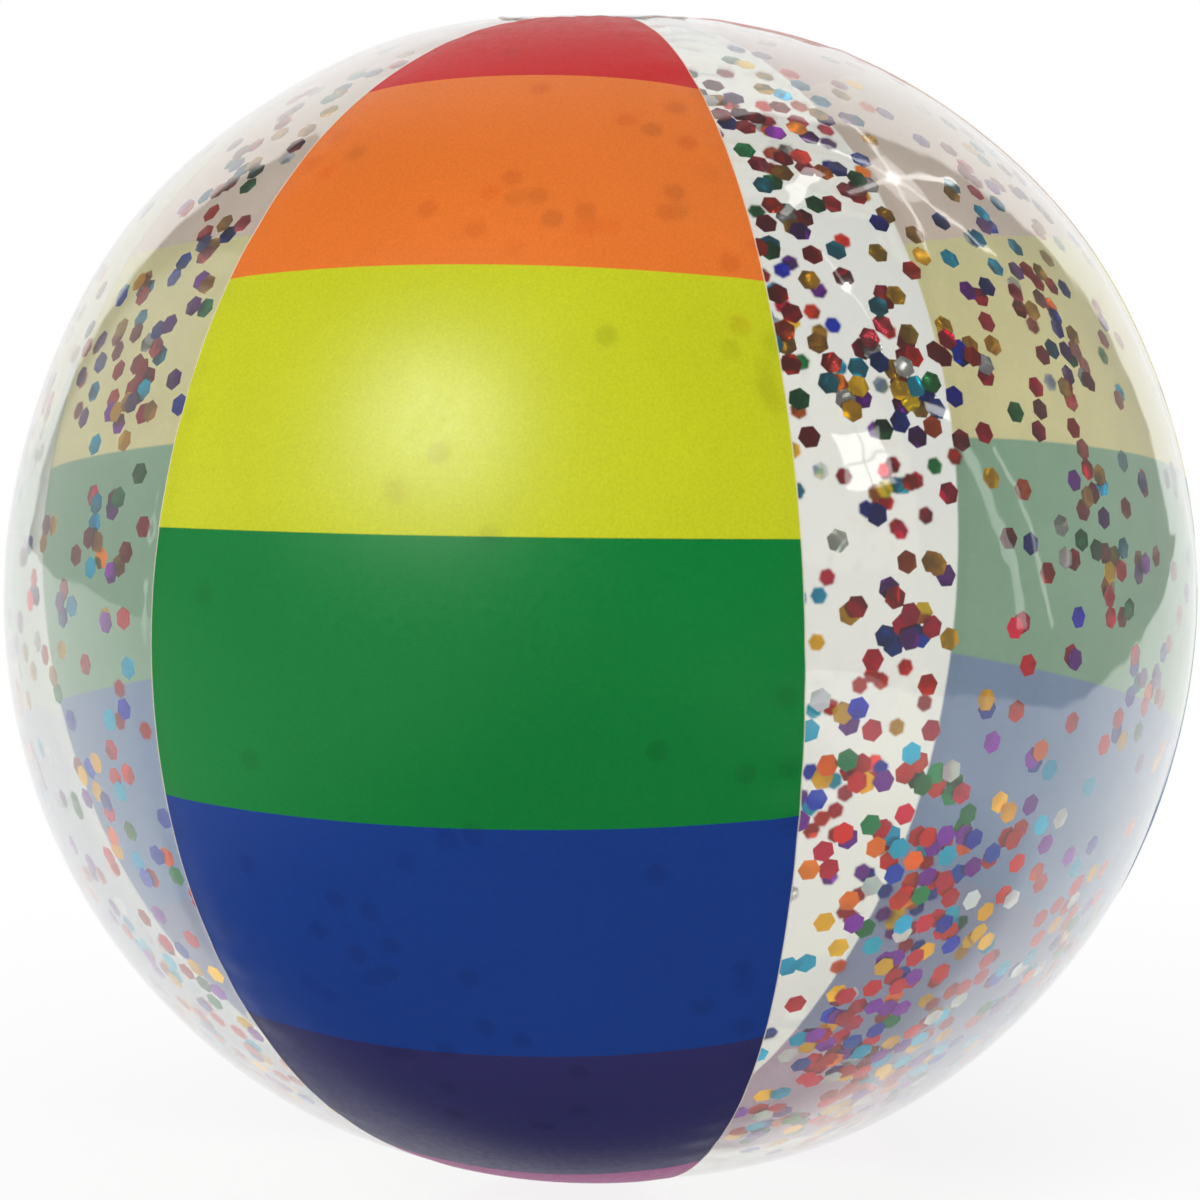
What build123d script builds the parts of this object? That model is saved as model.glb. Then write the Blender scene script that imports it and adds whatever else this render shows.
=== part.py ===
from build123d import *
import math
import os
import random

os.makedirs("parts", exist_ok=True)

# Inflatable beach ball with loose glitter inside. Millimetres, origin at the
# ball's centre, +Z through the top end disc, -Y through the middle of the
# front printed panel, +Y through the valve.

# ---- ball ----
R_EQ = 196.0             # outer radius at the equator
FILM = 0.25              # one layer of film
PANELS = 6               # printed and clear panels take turns
LAP = 5.0                # how far a clear panel is welded under a printed one
TIP_R = 16.0             # where a panel's truncated tip ends, from the axis

# The meridian is three arcs, each tangent to the next. An angle is the
# surface normal's tilt from the equator.
BELT_R = 1.022 * R_EQ
BELT_END = 28.0
SHOULDER_R = 0.945 * R_EQ
SHOULDER_END = 60.0
CROWN_R = 0.842 * R_EQ

# ---- end discs ----
DISC_R = 32.0
DISC_T = 0.35

# ---- valve, on the +Y axis; positions are distances from the ball's centre ----
FILM_HOLE_R = 8.6
FLANGE_R = 18.0
FLANGE_T = 0.6
FLANGE_HOLE_R = 7.5
WELD_GAP = 0.02
BORE_R = 3.2
STEM_R = 4.4
LIP_R = 6.5
LIP_TOP = 196.9
LIP_T = 1.2
FOOT_R = 5.4
FOOT_T = 1.4
STEM_END = 181.0
SKIRT_R = 9.4            # where the skirt's rim meets the flange
SKIRT_T = 0.5
PLUG_R = 3.15
PLUG_TIP_R = 2.75
PLUG_LENGTH = 9.4
PLUG_HOLLOW_R = 2.1
HEAD_R = 5.6
HEAD_T = 1.35
RUN_GAP = 0.05           # between a moving piece and what it moves past
TAB_REACH = 8.2
TAB_W = 4.2
STRAP_W = 3.0
STRAP_T = 0.7
STRAP_REACH = 10.6       # where the strap turns back, from the valve's axis
FLAP_R = 4.6
FLAP_T = 0.4
FLAP_TONGUE_W = 3.2
FLAP_HINGE_Z = 4.75      # axis of the flap's live hinge

# ---- glitter ----
FLAKE_R = 3.58           # centre to corner of a hexagon 6.2 across the flats
FLAKE_T = 0.05
FLAKE_TILT = 2.0         # degrees
FIRST_LAYER = 0.95       # depth of the outermost flakes below the outer surface
LAYER_STEP = 0.45        # depth from one layer of flakes to the next
LAYERS = 9
VALVE_CLEAR = 26.0       # no flakes nearer than this to the valve's axis

# Share of the flakes that have each colour.
GLITTER_MIX = {
    "red": 0.34,
    "gold": 0.15,
    "cyan": 0.11,
    "blue": 0.11,
    "purple": 0.12,
    "green": 0.07,
    "silver": 0.06,
    "orange": 0.04,
}

# Where flakes have gathered: azimuth from the front towards the right,
# latitude, spread along the surface in millimetres, number of flakes.
DRIFTS = [
    (39, 57, 12, 12), (42, 50, 13, 20), (42, 40, 11, 14), (33, 41, 8, 9),
    (33, 31, 11, 12), (33, 22, 9, 8), (42, 26, 13, 30), (46, 20, 9, 9),
    (80, 46, 15, 22), (69, 36, 15, 22), (53, 26, 10, 12), (65, 26, 14, 24),
    (64, 9, 14, 30), (40, 6, 9, 9), (41, 2, 9, 10), (35, -8, 14, 30),
    (48, -9, 13, 24), (73, -7, 15, 20), (42, -18, 14, 20), (54, -19, 15, 18),
    (44, -25, 15, 44), (71, -31, 16, 28), (39, -35, 15, 50), (48, -43, 16, 46),
    (60, -38, 18, 34), (40, -50, 15, 40), (60, -54, 18, 40), (82, -45, 18, 26),
    (-41, 49, 12, 16), (-42, 56, 12, 14), (-35, 38, 10, 9), (-39, 24, 15, 34),
    (-46, 31, 13, 16), (-39, 11, 12, 14), (-49, 2, 14, 12), (-40, -14, 12, 14),
    (-33, -19, 9, 9), (-43, -30, 15, 24), (-36, -42, 15, 26), (-60, -48, 20, 30),
    (-70, 20, 20, 20), (-75, -15, 22, 22), (160, 50, 18, 22), (170, 24, 16, 18),
    (158, 8, 16, 18), (166, -26, 18, 26), (150, -40, 20, 30), (195, 38, 20, 22),
    (205, 10, 18, 18), (202, -22, 20, 28), (185, -48, 24, 44), (120, -50, 20, 16),
    (0, -42, 22, 12), (8, 44, 16, 12), (-14, -18, 18, 9), (235, -50, 22, 16),
]
STRAY_CLEAR = 250        # single flakes spread over the clear panels
STRAY_PRINTED = 60       # and over the printed ones
ONE_IN = 5               # only one flake in this many is made as a solid


def meridian_arcs():
    """The arcs above the equator: centre, radius, first and last normal angle."""
    arcs = [((R_EQ - BELT_R, 0.0), BELT_R, 0.0, BELT_END)]
    for radius, start, end in (
        (SHOULDER_R, BELT_END, SHOULDER_END),
        (CROWN_R, SHOULDER_END, 90.0),
    ):
        (cx, cz), last, _, _ = arcs[-1]
        t = math.radians(start)
        step = last - radius
        arcs.append(((cx + step * math.cos(t), cz + step * math.sin(t)), radius, start, end))
    return arcs


ARCS = meridian_arcs()
POLE_Z = ARCS[-1][0][1] + CROWN_R
FLAT_R = ARCS[-1][0][0]


def meridian_point(angle, inset):
    """(distance from the axis, height) of the surface where its normal has this angle."""
    for (cx, cz), radius, _, end in ARCS:
        if abs(angle) <= end:
            break
    t = math.radians(abs(angle))
    r = cx + (radius - inset) * math.cos(t)
    z = cz + (radius - inset) * math.sin(t)
    return r, math.copysign(z, angle)


def half_meridian(inset):
    """Edges of half the meridian, from the equator up to the flat pole."""
    return [
        CenterArc((cx, cz), radius - inset, start, end - start)
        for (cx, cz), radius, start, end in ARCS
    ]


def layer_face(inset, thickness):
    """Section of a film layer from the bottom flat to the top flat."""
    outer = half_meridian(inset)
    inner = half_meridian(inset + thickness)
    edges = []
    for arcs, z in ((outer, POLE_Z - inset), (inner, POLE_Z - inset - thickness)):
        top = Line((FLAT_R, z), (TIP_R, z))
        edges += arcs + [top]
        edges += [edge.mirror(Plane.XZ) for edge in arcs + [top]]
    z0, z1 = POLE_Z - inset, POLE_Z - inset - thickness
    edges.append(Line((TIP_R, z0), (TIP_R, z1)))
    edges.append(Line((TIP_R, -z0), (TIP_R, -z1)))
    return Plane.XZ * make_face(edges)


def panel(azimuth, inset, past):
    """One film panel centred on an azimuth, reaching some way past each seam line."""
    shell = revolve(layer_face(inset, FILM), Axis.Z, 360 / PANELS + 40)
    shell = Rot(0, 0, azimuth - 90 - (360 / PANELS + 40) / 2) * shell
    half = math.radians(180 / PANELS)
    reach = 1.4 * R_EQ
    shift = past / math.sin(half)
    wedge_points = [
        (-shift, 0),
        (reach - shift, reach * math.tan(half)),
        (reach - shift, -reach * math.tan(half)),
    ]
    wedge = extrude(make_face(Polyline(*wedge_points, close=True)), R_EQ, both=True)
    return shell & (Rot(0, 0, azimuth - 90) * wedge)


def end_disc(sign):
    """Round patch welded over the panel tips, flat in the middle."""
    (cx, cz), radius, _, _ = ARCS[-1]
    rim = math.degrees(math.acos((DISC_R - cx) / radius))
    under = CenterArc((cx, cz), radius, rim, 90 - rim)
    over = CenterArc((cx, cz), radius + DISC_T, rim, 90 - rim)
    low, high = POLE_Z, POLE_Z + DISC_T
    edges = [
        under,
        over,
        Line(under @ 0, over @ 0),
        Line((FLAT_R, low), (0, low)),
        Line((FLAT_R, high), (0, high)),
        Line((0, low), (0, high)),
    ]
    disc = revolve(Plane.XZ * make_face(edges), Axis.Z, 360)
    return disc if sign > 0 else disc.mirror(Plane.XY)


def turned(points):
    """Solid of revolution about the +Y axis from (radius, y) corners."""
    face = make_face(Polyline(*points, close=True))
    return revolve(face, Axis.Y, 360)


def valve_flange():
    """Weld ring under the film, curved like the film it is welded to."""
    outer = R_EQ - 2 * FILM - WELD_GAP
    shell = Sphere(outer) - Sphere(outer - FLANGE_T)
    ring = Rot(90, 0, 0) * Cylinder(FLANGE_R, 3 * R_EQ)
    hole = Rot(90, 0, 0) * Cylinder(FLANGE_HOLE_R, 3 * R_EQ)
    outward = Pos(0, R_EQ, 0) * Box(4 * FLANGE_R, R_EQ, 4 * FLANGE_R)
    return (shell & ring & outward) - hole


def valve_skirt():
    """Soft sleeve from the flange to the stem's foot, pushed inside at rest."""
    under_flange = R_EQ - 2 * FILM - WELD_GAP - FLANGE_T
    top = math.sqrt(under_flange ** 2 - SKIRT_R ** 2) - WELD_GAP
    foot = FOOT_R + RUN_GAP
    inner = [(7.1, top - 0.6), (6.9, 190.0), (6.2, 186.5), (foot + 0.1, 184.0), (foot, 182.6)]
    outer = [(r + SKIRT_T, y - 0.1) for r, y in inner]
    points = [(SKIRT_R, top), (7.3, top)] + inner
    points += [(foot, STEM_END + 0.2), (foot + SKIRT_T, STEM_END + 0.2)]
    points += outer[::-1] + [(SKIRT_R, top - SKIRT_T)]
    return turned(points)


def valve_stem():
    """Tube with a mouth lip outside and a foot ring inside."""
    return turned([
        (BORE_R, STEM_END),
        (FOOT_R, STEM_END),
        (FOOT_R, STEM_END + FOOT_T),
        (STEM_R, STEM_END + FOOT_T + 0.6),
        (STEM_R, LIP_TOP - LIP_T - 0.6),
        (LIP_R - 0.3, LIP_TOP - LIP_T),
        (LIP_R, LIP_TOP - LIP_T + 0.3),
        (LIP_R, LIP_TOP - 0.3),
        (LIP_R - 0.3, LIP_TOP),
        (BORE_R, LIP_TOP),
    ])


def valve_stopper():
    """Hollow plug with a flat head and a pull tab."""
    under = LIP_TOP + RUN_GAP
    tip = under - PLUG_LENGTH
    plug = turned([
        (PLUG_HOLLOW_R, tip),
        (PLUG_TIP_R, tip),
        (PLUG_R, tip + 2.0),
        (PLUG_R, under),
        (HEAD_R, under),
        (HEAD_R, under + HEAD_T - 0.4),
        (HEAD_R - 0.4, under + HEAD_T),
        (0, under + HEAD_T),
        (0, under + HEAD_T - 0.9),
        (PLUG_HOLLOW_R, under + HEAD_T - 1.4),
    ])
    straight = TAB_REACH - TAB_W / 2
    bar = Pos(0, under + 0.4, -straight / 2) * Box(TAB_W, 0.8, straight)
    end = Pos(0, under + 0.4, -straight) * Rot(90, 0, 0) * Cylinder(TAB_W / 2, 0.8)
    core = Pos(0, under + 0.4, 0) * Rot(90, 0, 0) * Cylinder(HEAD_R - 1.0, 3)
    return plug + ((bar + end) - core)


def valve_strap():
    """Hairpin tether from the stem's lip to the stopper's head."""
    turn = 0.35
    low = LIP_TOP - LIP_T / 2 - STRAP_T / 2
    mid = low + STRAP_T + turn
    root = LIP_R - 0.05
    end = HEAD_R + RUN_GAP
    far = STRAP_REACH
    outer = turn + STRAP_T
    lines = [
        Line((root, low), (far, low)),
        CenterArc((far, mid), outer, -90, 180),
        Line((far, mid + outer), (end, mid + outer)),
        Line((end, mid + outer), (end, mid + turn)),
        Line((end, mid + turn), (far, mid + turn)),
        CenterArc((far, mid), turn, -90, 180),
        Line((far, mid - turn), (root, mid - turn)),
        Line((root, mid - turn), (root, low)),
    ]
    side = Plane(origin=(0, 0, 0), x_dir=(0, 0, 1), z_dir=(-1, 0, 0))
    return extrude(side * make_face(lines), STRAP_W / 2, both=True)


def valve_flap():
    """Check flap: a disc under the stem's end with a short tongue that rolls on its hinge."""
    middle = STEM_END - RUN_GAP - FLAP_T / 2
    disc = Pos(0, middle, 0) * Rot(90, 0, 0) * Cylinder(FLAP_R, FLAP_T)
    tongue = Pos(0, middle, FLAP_HINGE_Z - 0.5) * Box(FLAP_TONGUE_W, FLAP_T, 1.0)
    knuckle = Pos(0, middle, FLAP_HINGE_Z) * Rot(0, 90, 0) * Cylinder(FLAP_T / 2, FLAP_TONGUE_W)
    return disc + tongue + knuckle


def direction(azimuth):
    t = math.radians(azimuth)
    return math.sin(t), -math.cos(t)


def surface_spot(azimuth, angle, inset):
    """Point of the surface and its outward normal."""
    r, z = meridian_point(angle, inset)
    x, y = direction(azimuth)
    t = math.radians(angle)
    return Vector(r * x, r * y, z), Vector(math.cos(t) * x, math.cos(t) * y, math.sin(t))


def wanted_spots(rng):
    """Azimuth and normal angle of each flake before they are thinned out."""
    spots = []
    for azimuth, latitude, spread, count in DRIFTS:
        for _ in range(count):
            up = rng.gauss(0, spread) / R_EQ
            side = rng.gauss(0, spread) / (R_EQ * math.cos(math.radians(latitude)))
            spots.append((azimuth + math.degrees(side), latitude + math.degrees(up)))
    for first, count in ((60, STRAY_CLEAR), (0, STRAY_PRINTED)):
        for _ in range(count):
            azimuth = first + 120 * rng.randrange(3) + rng.uniform(-28, 28)
            height = rng.uniform(-0.97, 0.97)
            spots.append((azimuth, math.degrees(math.asin(height))))
    return spots


def flake_places():
    """Centre, normal and spin of each flake. Flakes that lie over one another take different layers."""
    rng = random.Random(41)
    placed = []
    for azimuth, angle in wanted_spots(rng)[::ONE_IN]:
        spin = rng.uniform(0, 60)
        lean = (rng.uniform(-FLAKE_TILT, FLAKE_TILT), rng.uniform(-FLAKE_TILT, FLAKE_TILT))
        if abs(angle) > 84:
            continue
        spot, normal = surface_spot(azimuth, angle, 0)
        if spot.Y > 0 and math.hypot(spot.X, spot.Z) < VALVE_CLEAR:
            continue
        near = [p for p in placed if (p[0] - spot).length < 2 * FLAKE_R + 0.4]
        if any((p[0] - spot).length < 0.55 * FLAKE_R for p in near):
            continue
        taken = {p[1] for p in near}
        free = [layer for layer in range(LAYERS) if layer not in taken]
        if not free:
            continue
        placed.append((spot, free[0], normal, spin, lean))
    return placed


def flake(spot, layer, normal, spin, lean):
    centre = spot - normal * (FIRST_LAYER + layer * LAYER_STEP)
    place = Plane(origin=centre, z_dir=normal) * Rot(lean[0], lean[1], spin)
    return place * extrude(RegularPolygon(FLAKE_R, 6), FLAKE_T / 2, both=True)


def glitter():
    """Flakes grouped by colour."""
    rng = random.Random(7)
    colours = list(GLITTER_MIX)
    weights = list(GLITTER_MIX.values())
    groups = {colour: [] for colour in colours}
    for place in flake_places():
        colour = rng.choices(colours, weights)[0]
        groups[colour].append(flake(*place))
    return groups


def save(shape, name):
    solids = shape.solids()
    whole = solids[0] if len(solids) == 1 else Compound(children=list(solids))
    export_step(whole, f"parts/{name}.step", write_pcurves=len(solids) == 1)


PRINTED = {
    "panel_print_front": 0,
    "panel_print_back_right": 120,
    "panel_print_back_left": 240,
}
CLEAR = {
    "panel_clear_front_right": 60,
    "panel_clear_back": 180,
    "panel_clear_front_left": 300,
}

for name, azimuth in PRINTED.items():
    save(panel(azimuth, 0, 0), name)

for name, azimuth in CLEAR.items():
    film = panel(azimuth, FILM, LAP)
    if name == "panel_clear_back":
        film -= Pos(0, R_EQ, 0) * Rot(90, 0, 0) * Cylinder(FILM_HOLE_R, 20)
    save(film, name)

save(end_disc(1), "end_disc_top")
save(end_disc(-1), "end_disc_bottom")
save(valve_flange(), "valve_flange")
save(valve_skirt(), "valve_skirt")
save(valve_stem(), "valve_stem")
save(valve_stopper(), "valve_stopper")
save(valve_strap(), "valve_strap")
save(valve_flap(), "valve_flap")

for colour, flakes in glitter().items():
    save(Compound(children=flakes), f"glitter_{colour}")
    print(f"glitter_{colour}: {len(flakes)} flakes")
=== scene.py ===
import math
import random

import bmesh
import bpy
import numpy as np
from mathutils import Matrix, Vector


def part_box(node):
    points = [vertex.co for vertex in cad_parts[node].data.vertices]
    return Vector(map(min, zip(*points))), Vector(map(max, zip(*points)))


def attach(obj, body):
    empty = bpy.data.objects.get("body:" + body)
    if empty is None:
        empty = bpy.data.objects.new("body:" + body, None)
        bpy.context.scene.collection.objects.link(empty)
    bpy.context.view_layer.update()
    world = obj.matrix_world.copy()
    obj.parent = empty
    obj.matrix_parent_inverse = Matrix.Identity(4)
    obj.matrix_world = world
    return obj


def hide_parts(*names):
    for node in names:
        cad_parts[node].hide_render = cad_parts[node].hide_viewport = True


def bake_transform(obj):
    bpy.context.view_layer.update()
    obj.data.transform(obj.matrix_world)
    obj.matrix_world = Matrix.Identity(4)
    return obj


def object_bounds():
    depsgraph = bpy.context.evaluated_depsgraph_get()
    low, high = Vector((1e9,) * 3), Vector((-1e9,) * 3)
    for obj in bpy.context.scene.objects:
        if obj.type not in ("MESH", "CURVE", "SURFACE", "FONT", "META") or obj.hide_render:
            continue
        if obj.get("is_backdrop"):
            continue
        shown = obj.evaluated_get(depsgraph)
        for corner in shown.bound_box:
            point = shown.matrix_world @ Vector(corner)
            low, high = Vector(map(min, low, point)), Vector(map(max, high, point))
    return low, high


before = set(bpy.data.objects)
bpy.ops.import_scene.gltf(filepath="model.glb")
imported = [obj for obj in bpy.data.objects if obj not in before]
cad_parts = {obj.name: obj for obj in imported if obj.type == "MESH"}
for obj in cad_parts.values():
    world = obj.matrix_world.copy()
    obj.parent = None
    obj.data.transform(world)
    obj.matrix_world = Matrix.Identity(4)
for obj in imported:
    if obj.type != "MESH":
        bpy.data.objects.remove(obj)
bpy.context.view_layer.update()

# Beach ball in metres, in the CAD frame: centre at the origin, +Z through the
# top end disc, -Y through the middle of the front printed panel.

MM = 0.001
R_EQ = -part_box("panel_print_front")[0].y
SEAMS = 6
FIRST_SEAM = 30              # azimuth in degrees of the first seam right of the front
LAP = 5 * MM
TIP_R = 16 * MM
FILM = 0.2 * MM              # thickness shown, so that lapped layers stay apart
CLEAR_INSET = 0.28 * MM      # clear panels lie this far under the printed ones

# The meridian is three tangent arcs: radius as a share of R_EQ, and the normal
# angle in degrees where each one ends.
ARC_SHARES = ((1.022, 28.0), (0.945, 60.0), (0.842, 90.0))

# How far the film stands off that smooth shape.
CREASE = 0.45 * MM
PUCKER = 0.16 * MM
DENT = 0.3 * MM
GATHER = 0.22 * MM
GATHER_R = 38 * MM

# One seam was welded a little wide.
WIDE_SEAM = 90
WIDE_BY = math.radians(6)

# The print is equal bands along a panel's length, straight on the flat film, so
# they arch a little once the panel is blown up.
BANDS_LENGTH = 2.993 * R_EQ
BAND_ARCH = 0.05

PANEL_COLUMNS = 65
PANEL_ROWS = 321

DISC_T = 0.35 * MM
DISC_WELD = 4.5 * MM         # the weld ring's distance from the disc's rim
VALVE_HOLE_R = 8.6 * MM
VALVE_CLEAR = 26 * MM        # no flakes within this distance of the valve's axis

FLAKE_R = 3.58 * MM
FLAKE_T = 0.05 * MM
FLAKE_CURL = 0.1 * MM
FLAKE_TILT = 0.03
FIRST_LAYER = 0.95 * MM      # depth of the outermost flakes behind clear film
PRINT_LAYER = 0.45 * MM      # and behind printed film, which lies further out
BARE_FROM, BARE_TO = 27, 99  # degrees of each 120 in which flakes keep clear of clear film
LAYER_STEP = 0.45 * MM
LAYERS = 9

CAMERA_AZIMUTH = 12.65
CAMERA_ELEVATION = 7.34
CAMERA_DISTANCE = 6.526 * R_EQ
CAMERA_ROLL = 0.37
CAMERA_SHIFT = -0.0051
LENS = 115.5
F_STOP = 20
FOCUS = 0.5 * R_EQ           # how far in front of the ball's centre it is sharpest


# ---------------------------------------------------------------- geometry

def meridian_arcs():
    """Arcs of the upper half: centre, radius, first and last normal angle, length before it."""
    arcs = []
    start, length = 0.0, 0.0
    for share, end in ARC_SHARES:
        radius = share * R_EQ
        if arcs:
            (cx, cz), last = arcs[-1][0], arcs[-1][1]
            step = last - radius
            centre = (cx + step * math.cos(start), cz + step * math.sin(start))
        else:
            centre = (R_EQ - radius, 0.0)
        stop = math.radians(end)
        arcs.append((centre, radius, start, stop, length))
        length += radius * (stop - start)
        start = stop
    return arcs, length


ARCS, ARC_LENGTH = meridian_arcs()
FLAT_R = ARCS[-1][0][0]
POLE_Z = ARCS[-1][0][1] + ARCS[-1][1]


def meridian(s):
    """Distance from the axis, height and normal angle at arc lengths s from the equator (array)."""
    a = np.abs(s)
    r = np.zeros_like(a)
    z = np.zeros_like(a)
    t = np.full_like(a, math.pi / 2)
    for (cx, cz), radius, start, stop, before in ARCS:
        angle = start + (a - before) / radius
        here = (angle >= start) & (angle <= stop + 1e-9)
        r[here] = cx + radius * np.cos(angle[here])
        z[here] = cz + radius * np.sin(angle[here])
        t[here] = angle[here]
    flat = a > ARC_LENGTH
    r[flat] = FLAT_R - (a[flat] - ARC_LENGTH)
    z[flat] = POLE_Z
    return r, np.sign(s) * z, np.sign(s) * t


def waves(coords, shortest, longest, count, seed):
    """Smooth repeatable noise of about unit size at each row of coords."""
    rng = np.random.default_rng(seed)
    size = coords.shape[-1]
    total = np.zeros(coords.shape[:-1])
    for _ in range(count):
        way = rng.normal(size=size)
        way *= 2 * math.pi / rng.uniform(shortest, longest) / np.linalg.norm(way)
        total += np.sin(coords @ way + rng.uniform(0, 2 * math.pi))
    return total / math.sqrt(count / 2)


def film_height(azimuth, s, r, points):
    """How far the blown-up film stands off the smooth ball.

    It is creased along the welds, puckered beside them, softly dented all over
    and gathered round the poles.
    """
    turn = np.mod(np.degrees(azimuth) - FIRST_SEAM, 360 / SEAMS)
    turn = np.minimum(turn, 360 / SEAMS - turn)
    off = np.radians(turn) * r
    crease = -CREASE * np.exp(-((off / (6 * MM)) ** 2))
    seam = np.round((np.degrees(azimuth) - FIRST_SEAM) / (360 / SEAMS))
    along = np.stack([s, seam * 0.37, 0.15 * off], axis=-1)
    gather = 0.5 + 0.5 * waves(along, 60 * MM, 140 * MM, 8, 11)
    pucker = PUCKER * np.exp(-(((off - 6 * MM) / (7 * MM)) ** 2)) * gather
    pucker = pucker * waves(along, 8 * MM, 17 * MM, 18, 12)
    dents = DENT * waves(points, 70 * MM, 150 * MM, 22, 13)
    folds = GATHER * np.exp(-(((r - GATHER_R) / (9 * MM)) ** 2))
    folds = folds * np.sin(22 * azimuth + 3 * np.sin(3 * azimuth))
    fade = np.clip((r - FLAT_R) / (12 * MM), 0, 1)
    return (crease + pucker + dents) * fade + folds


def surface(azimuth, s, inset):
    """Points and outward normals of the blown-up film at azimuths and arc lengths (arrays)."""
    r, z, t = meridian(s)
    x, y = np.sin(azimuth), -np.cos(azimuth)
    smooth = np.stack([r * x, r * y, z], axis=-1)
    normal = np.stack([np.cos(t) * x, np.cos(t) * y, np.sin(t)], axis=-1)
    height = film_height(azimuth, s, r, smooth) - inset
    return smooth + normal * height[..., None], normal


def mesh_object(name, points, faces, smooth=True):
    mesh = bpy.data.meshes.new(name)
    mesh.from_pydata([tuple(p) for p in points], [], faces)
    if smooth:
        mesh.shade_smooth()
    made = bpy.data.objects.new(name, mesh)
    bpy.context.scene.collection.objects.link(made)
    return made


def grid_faces(rows, columns, closed=False):
    """Quads of a grid whose rows run one after another."""
    faces = []
    last = columns if closed else columns - 1
    for j in range(rows - 1):
        for i in range(last):
            k = (i + 1) % columns
            a, b = j * columns + i, j * columns + k
            faces.append((a, b, b + columns, a + columns))
    return faces


def add_values(made, name, values):
    attribute = made.data.attributes.new(name, "FLOAT", "POINT")
    attribute.data.foreach_set("value", np.asarray(values, np.float32).ravel())


def apply_modifiers(made):
    depsgraph = bpy.context.evaluated_depsgraph_get()
    baked = bpy.data.meshes.new_from_object(made.evaluated_get(depsgraph))
    made.modifiers.clear()
    made.data = baked


def thicken(made, thickness, inner_slot=0):
    solid = made.modifiers.new("film", "SOLIDIFY")
    solid.thickness = thickness
    solid.offset = -1
    solid.material_offset = inner_slot
    solid.material_offset_rim = inner_slot


def seam_shift(azimuth, s):
    """How far a seam wanders from its even place: one does, more so towards the top."""
    if azimuth % 360 != WIDE_SEAM:
        return np.zeros_like(s)
    lift = np.clip(s / R_EQ + 0.75, 0, 1)
    return WIDE_BY * lift * lift * (3 - 2 * lift)


def film_panel(name, azimuth, inset, past, materials):
    """One gore, reaching some way past each seam line."""
    reach = ARC_LENGTH + FLAT_R - TIP_R
    s = np.linspace(-reach, reach, PANEL_ROWS)
    r, _, _ = meridian(s)
    half = math.radians(180 / SEAMS)
    left = math.radians(azimuth) - half + seam_shift(azimuth - 30, s) - past / r
    right = math.radians(azimuth) + half + seam_shift(azimuth + 30, s) + past / r
    across = 0.5 + 0.5 * np.sin(math.pi / 2 * np.linspace(-1, 1, PANEL_COLUMNS))
    turn = left[:, None] + (right - left)[:, None] * across[None, :]
    s_grid = np.repeat(s[:, None], PANEL_COLUMNS, axis=1)
    points, _ = surface(turn, s_grid, inset)
    made = mesh_object(name, points.reshape(-1, 3), grid_faces(PANEL_ROWS, PANEL_COLUMNS))
    arch = 1 - BAND_ARCH * ((turn - math.radians(azimuth)) / half) ** 2
    add_values(made, "band", 0.5 - s_grid / arch / BANDS_LENGTH)
    edge = np.minimum(turn - left[:, None], right[:, None] - turn) * r[:, None] / MM
    add_values(made, "edge_mm", edge)
    for material in materials:
        made.data.materials.append(material)
    thicken(made, FILM, len(materials) - 1)
    apply_modifiers(made)
    return made


def cut_hole(made, radius, reach):
    """Round hole through a piece, along the +Y axis."""
    bm = bmesh.new()
    bmesh.ops.create_cone(
        bm, cap_ends=True, segments=96, radius1=radius, radius2=radius, depth=reach,
        matrix=Matrix.Translation((0, R_EQ, 0)) @ Matrix.Rotation(math.pi / 2, 4, "X"),
    )
    mesh = bpy.data.meshes.new("cutter")
    bm.to_mesh(mesh)
    bm.free()
    cutter = bpy.data.objects.new("cutter", mesh)
    bpy.context.scene.collection.objects.link(cutter)
    cut = made.modifiers.new("hole", "BOOLEAN")
    cut.operation = "DIFFERENCE"
    cut.solver = "EXACT"
    cut.object = cutter
    apply_modifiers(made)
    bpy.data.objects.remove(cutter)


def face_outwards(made, sign=0):
    """Faces of one piece look the same way. An open sheet's top faces look up or down, as sign says."""
    bm = bmesh.new()
    bm.from_mesh(made.data)
    bmesh.ops.recalc_face_normals(bm, faces=bm.faces)
    if sign:
        top = max(bm.faces, key=lambda f: sign * f.calc_center_median().z)
        if top.normal.z * sign < 0:
            bmesh.ops.reverse_faces(bm, faces=bm.faces)
    bm.to_mesh(made.data)
    bm.free()


def end_disc(name, sign, radius, thickness, material):
    """Patch welded over the panel tips, with a pressed weld ring near its rim."""
    rings, segments = 64, 144
    rho = np.linspace(0.4 * MM, radius, rings)
    crown = math.pi / 2 - np.arcsin(np.clip((rho - FLAT_R) / ARCS[-1][1], 0, 1))
    s = np.where(
        rho > FLAT_R,
        ARC_LENGTH - ARCS[-1][1] * (math.pi / 2 - crown),
        ARC_LENGTH + FLAT_R - rho,
    )
    turn = np.linspace(0, 2 * math.pi, segments, endpoint=False)
    s_grid = np.repeat(s[:, None], segments, axis=1)
    t_grid = np.repeat(turn[None, :], rings, axis=0)
    points, normal = surface(t_grid, sign * s_grid, -thickness)
    off = rho - (radius - DISC_WELD)
    groove = -0.16 * MM * np.exp(-((off / (1.1 * MM)) ** 2))
    knurl = 0.05 * MM * np.exp(-((off / (1.8 * MM)) ** 2))
    rise = groove[:, None] + knurl[:, None] * np.sin(72 * turn)[None, :]
    points = points + normal * rise[..., None]
    faces = grid_faces(rings, segments, closed=True)
    points = np.vstack([points.reshape(-1, 3), [[0, 0, sign * (POLE_Z + thickness)]]])
    hub = len(points) - 1
    faces += [(hub, (i + 1) % segments, i) for i in range(segments)]
    made = mesh_object(name, points, faces)
    face_outwards(made, sign)
    made.data.shade_smooth()
    made.data.materials.append(material)
    thicken(made, thickness - 0.06 * MM)
    apply_modifiers(made)
    return made


# ---------------------------------------------------------------- materials

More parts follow.
